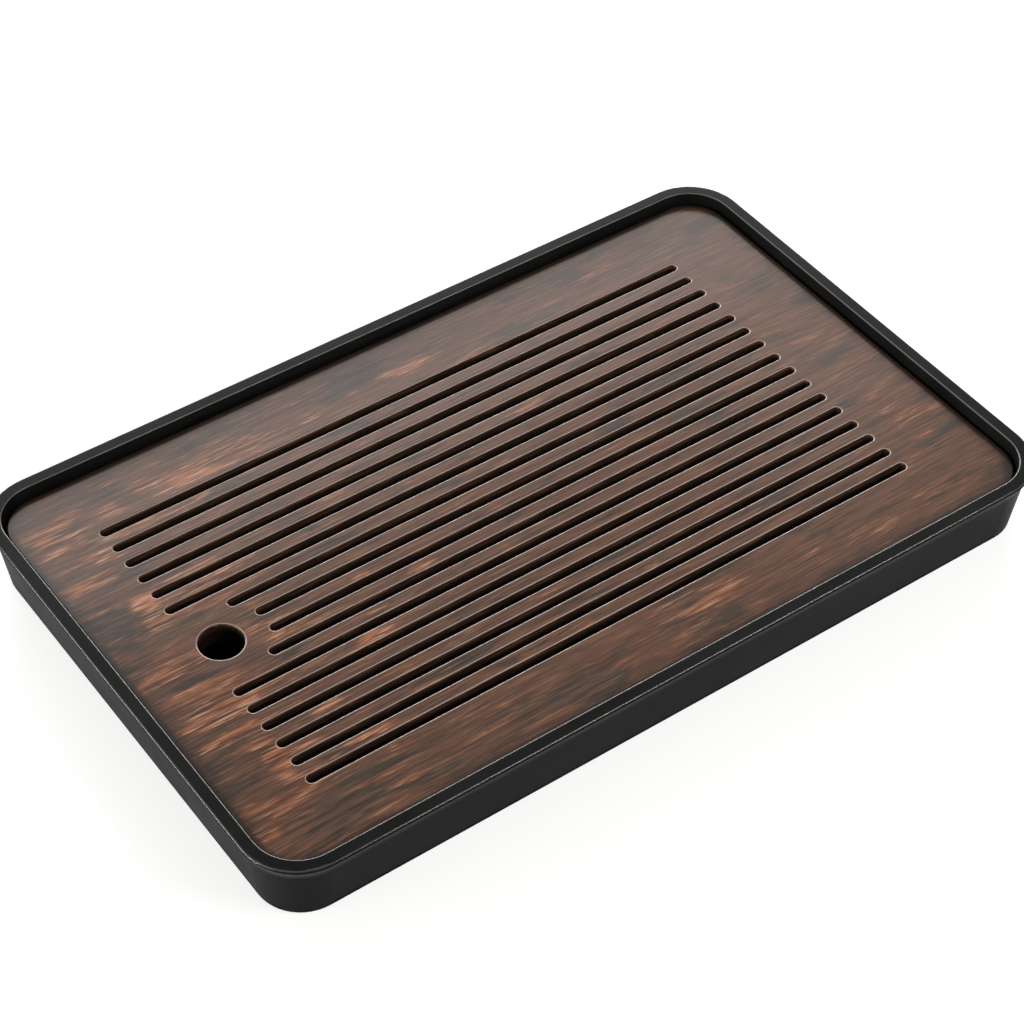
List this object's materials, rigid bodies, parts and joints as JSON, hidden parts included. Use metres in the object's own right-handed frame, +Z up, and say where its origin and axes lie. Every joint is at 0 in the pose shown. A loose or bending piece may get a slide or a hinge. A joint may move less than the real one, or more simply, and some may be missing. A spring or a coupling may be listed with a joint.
{
  "type": "tea tray",
  "caption": "Rectangular tea tray: a dark slotted bamboo board with a finger hole lies loose in a black moulded tray with a raised rim that collects the water",
  "frame": {"origin": "centre of the tray's footprint, on the table under the rubber feet", "axes": "+X along the tray and its slots, away from the finger hole's end; +Y from the front long side to the rear one; +Z up"},
  "size_m": [0.35, 0.22, 0.03],
  "materials": {
    "tray_plastic": "satin black moulded melamine with a soft sheen",
    "bamboo": "dark carbonised bamboo with streaky grain along the slots and a thin satin lacquer",
    "foot_rubber": "matt dark grey rubber"
  },
  "bodies": {
    "tray": {"base_tray": "tray_plastic", "front_left_foot": "foot_rubber", "front_right_foot": "foot_rubber", "rear_left_foot": "foot_rubber", "rear_right_foot": "foot_rubber"},
    "board": {"slotted_board": "bamboo"}
  },
  "joints": [
    {"name": "board_lift", "type": "slide", "parent": "tray", "child": "board", "axis": [0, 0, 1], "range_m": [0, 0.04]}
  ]
}
